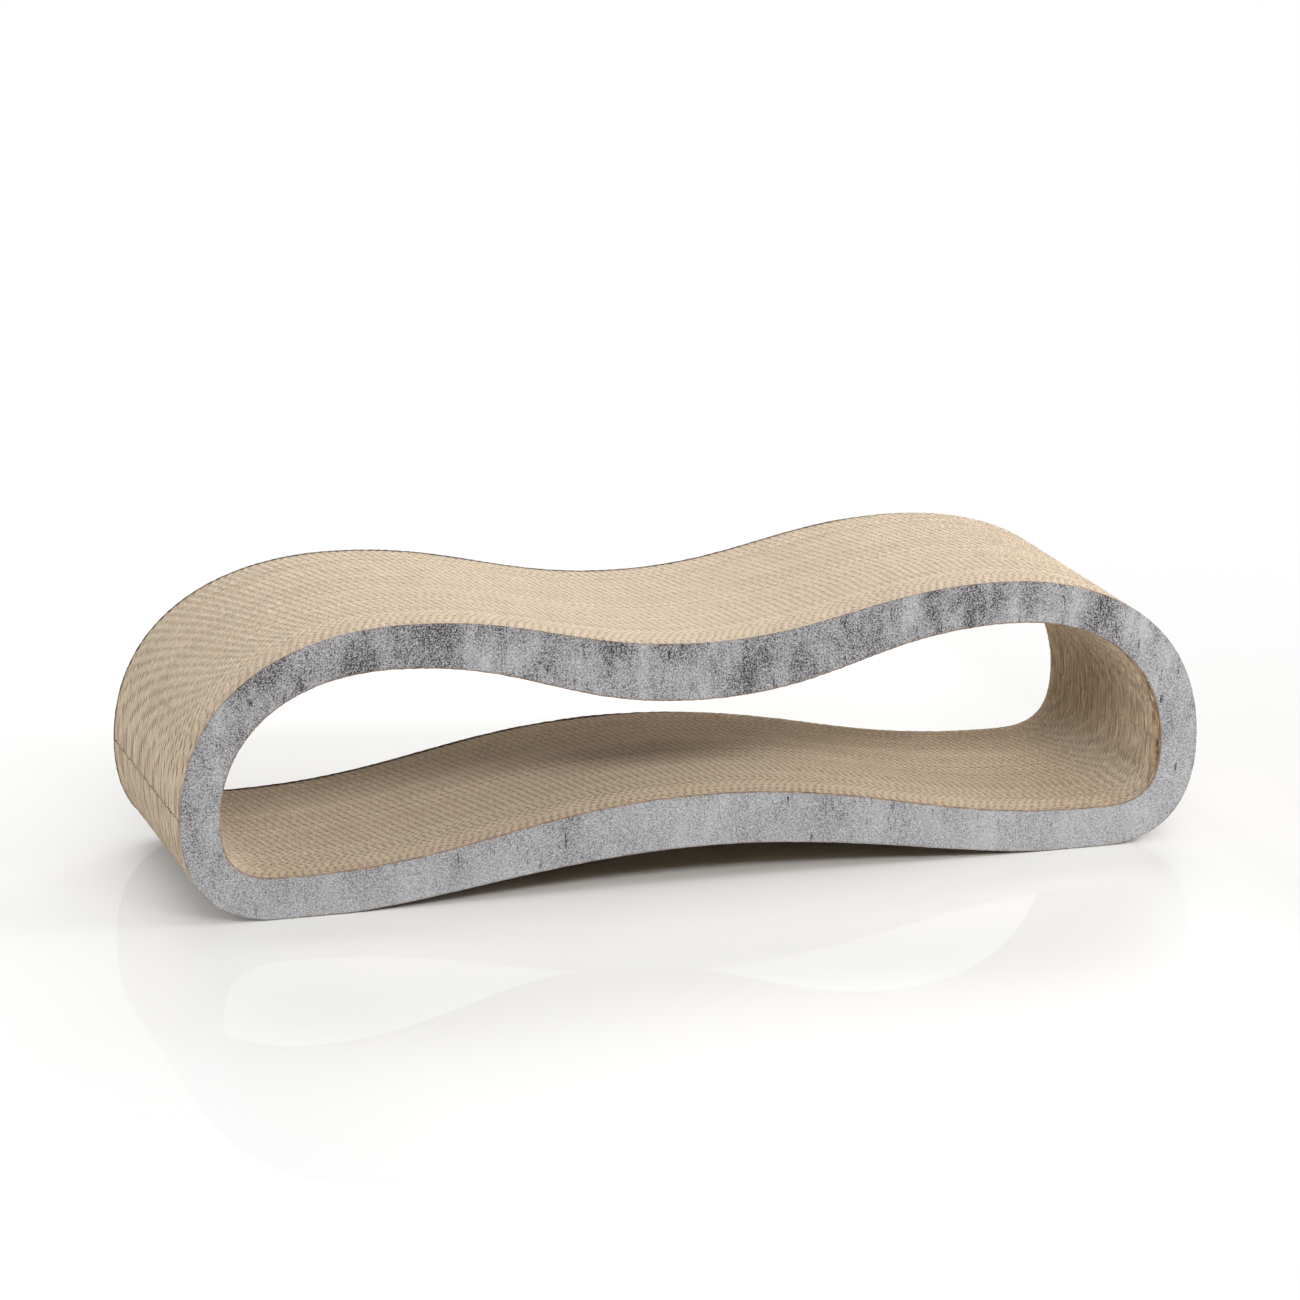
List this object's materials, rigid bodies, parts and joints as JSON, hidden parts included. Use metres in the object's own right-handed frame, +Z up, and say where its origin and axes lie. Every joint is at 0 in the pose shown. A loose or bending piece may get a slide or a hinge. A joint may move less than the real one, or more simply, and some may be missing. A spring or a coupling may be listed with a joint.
{
  "type": "cat scratcher lounge",
  "caption": "Loop-shaped cat scratcher lounge of stacked corrugated cardboard between printed side panels, with a dipped top to lie on and an open hollow to lie in.",
  "frame": {"origin": "middle of the footprint, at floor level", "axes": "+X along the length to the right seen from the front, +Y from the front panel to the back panel, +Z up"},
  "size_m": [0.82, 0.227, 0.222],
  "materials": {
    "corrugated_board": "matte kraft, cut edges",
    "printed_board": "matte print, concrete look"
  },
  "bodies": {
    "root": {"front_side_panel": "printed_board", "back_side_panel": "printed_board", "upper_pack_01": "corrugated_board", "lower_pack_01": "corrugated_board", "upper_pack_02": "corrugated_board", "lower_pack_02": "corrugated_board", "upper_pack_03": "corrugated_board", "lower_pack_03": "corrugated_board", "upper_pack_04": "corrugated_board", "lower_pack_04": "corrugated_board", "upper_pack_05": "corrugated_board", "lower_pack_05": "corrugated_board", "upper_pack_06": "corrugated_board", "lower_pack_06": "corrugated_board", "upper_pack_07": "corrugated_board", "lower_pack_07": "corrugated_board", "upper_pack_08": "corrugated_board", "lower_pack_08": "corrugated_board", "upper_pack_09": "corrugated_board", "lower_pack_09": "corrugated_board", "upper_pack_10": "corrugated_board", "lower_pack_10": "corrugated_board", "upper_pack_11": "corrugated_board", "lower_pack_11": "corrugated_board", "upper_pack_12": "corrugated_board", "lower_pack_12": "corrugated_board", "upper_pack_13": "corrugated_board", "lower_pack_13": "corrugated_board", "upper_pack_14": "corrugated_board", "lower_pack_14": "corrugated_board", "upper_pack_15": "corrugated_board", "lower_pack_15": "corrugated_board", "upper_pack_16": "corrugated_board", "lower_pack_16": "corrugated_board", "upper_pack_17": "corrugated_board", "lower_pack_17": "corrugated_board", "upper_pack_18": "corrugated_board", "lower_pack_18": "corrugated_board", "upper_pack_19": "corrugated_board", "lower_pack_19": "corrugated_board", "upper_pack_20": "corrugated_board", "lower_pack_20": "corrugated_board", "upper_pack_21": "corrugated_board", "lower_pack_21": "corrugated_board", "upper_pack_22": "corrugated_board", "lower_pack_22": "corrugated_board", "upper_pack_23": "corrugated_board", "lower_pack_23": "corrugated_board", "upper_pack_24": "corrugated_board", "lower_pack_24": "corrugated_board"}
  },
  "joints": []
}
